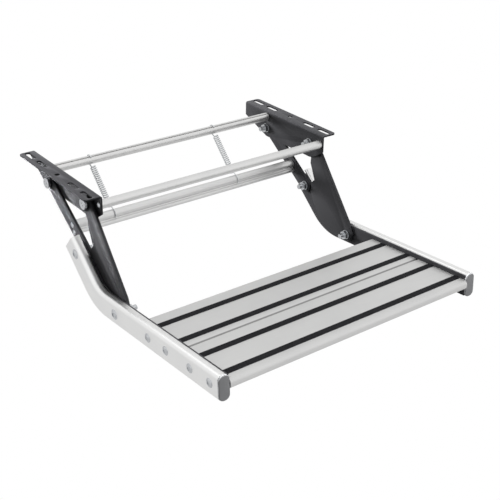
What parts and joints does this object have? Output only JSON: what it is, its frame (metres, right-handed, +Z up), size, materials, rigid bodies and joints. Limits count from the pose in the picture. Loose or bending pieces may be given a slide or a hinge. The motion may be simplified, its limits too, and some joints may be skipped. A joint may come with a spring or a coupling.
{
  "type": "caravan pull out step",
  "caption": "Pull-out caravan entrance step: planked tread on bent side rails, swung out from under the floor on paired links and held at each end of its travel by tension springs.",
  "frame": {"origin": "midway between the round centre holes of the two brackets, on the plane of the bracket tops that meets the floor", "axes": "+X to the step's right as seen from the front, -Y to the front where the step swings out, +Z up"},
  "size_m": [0.6102, 0.6972, 0.2267],
  "materials": {
    "black_steel": "satin",
    "aluminium": "satin",
    "zinc": "bright",
    "rubber": "matte",
    "cap_plastic": "matte",
    "bush_plastic": "matte",
    "spring_steel": "bright"
  },
  "bodies": {
    "frame": {"bracket_l": "black_steel", "bracket_r": "black_steel", "front_tube": "aluminium", "rear_tube": "aluminium", "front_tube_screw_l": "zinc", "front_tube_screw_r": "zinc", "rear_tube_screw_l": "zinc", "rear_tube_screw_r": "zinc", "rear_pivot_bolt_l": "zinc", "rear_pivot_bolt_r": "zinc", "rear_pivot_nut_l": "zinc", "rear_pivot_nut_r": "zinc", "front_pivot_bolt_l": "zinc", "front_pivot_bolt_r": "zinc", "front_pivot_nut_l": "zinc", "front_pivot_nut_r": "zinc"},
    "rear_links": {"rear_link_l": "black_steel", "rear_link_r": "black_steel", "rear_bush_l": "bush_plastic", "rear_bush_r": "bush_plastic", "lower_bar": "aluminium", "bar_screw_l": "zinc", "bar_screw_r": "zinc", "lobe_screw_l": "zinc", "lobe_screw_r": "zinc"},
    "front_arms": {"front_arm_l": "black_steel", "front_arm_r": "black_steel", "front_bush_l": "bush_plastic", "front_bush_r": "bush_plastic", "low_pivot_nut_l": "zinc", "low_pivot_nut_r": "zinc"},
    "step": {"rail_l": "aluminium", "rail_r": "aluminium", "inner_plate_l": "black_steel", "inner_plate_r": "black_steel", "end_cap_l": "cap_plastic", "end_cap_r": "cap_plastic", "tread_rear": "aluminium", "tread_front": "aluminium", "strip_1": "rubber", "strip_2": "rubber", "strip_3": "rubber", "strip_4": "rubber", "tread_screw_l1": "zinc", "tread_screw_l2": "zinc", "tread_screw_l3": "zinc", "tread_screw_l4": "zinc", "tread_screw_r1": "zinc", "tread_screw_r2": "zinc", "tread_screw_r3": "zinc", "tread_screw_r4": "zinc", "rear_rail_bolt_l": "zinc", "rear_rail_bolt_r": "zinc", "rear_rail_nut_l": "zinc", "rear_rail_nut_r": "zinc", "low_pivot_bolt_l": "zinc", "low_pivot_bolt_r": "zinc"},
    "springs": {"spring_l": "spring_steel", "spring_r": "spring_steel"}
  },
  "joints": [
    {"name": "fold", "type": "hinge", "parent": "frame", "child": "rear_links", "pos_m": [0, 0.058, -0.04], "axis": [1, 0, 0], "range_deg": [0, 122.1], "stiffness_Nm_per_rad": 6, "springref_deg": -160.43},
    {"name": "arm_swing", "type": "hinge", "parent": "frame", "child": "front_arms", "pos_m": [0, -0.093, -0.028], "axis": [1, 0, 0], "range_deg": [0, 85.68]},
    {"name": "step_level", "type": "hinge", "parent": "rear_links", "child": "step", "pos_m": [0, -0.0792, -0.13529], "axis": [1, 0, 0], "range_deg": [-122.11, 0]},
    {"name": "spring_swing", "type": "hinge", "parent": "frame", "child": "springs", "pos_m": [0, 0.058, -0.013], "axis": [1, 0, 0], "range_deg": [0, 99.56], "deforming": ["spring_l", "spring_r"]}
  ],
  "couplings": [
    {"joint": "arm_swing", "follows": "fold", "ratio": 0.70161},
    {"joint": "step_level", "follows": "fold", "ratio": -1},
    {"joint": "spring_swing", "follows": "fold", "ratio": 0.81532}
  ]
}
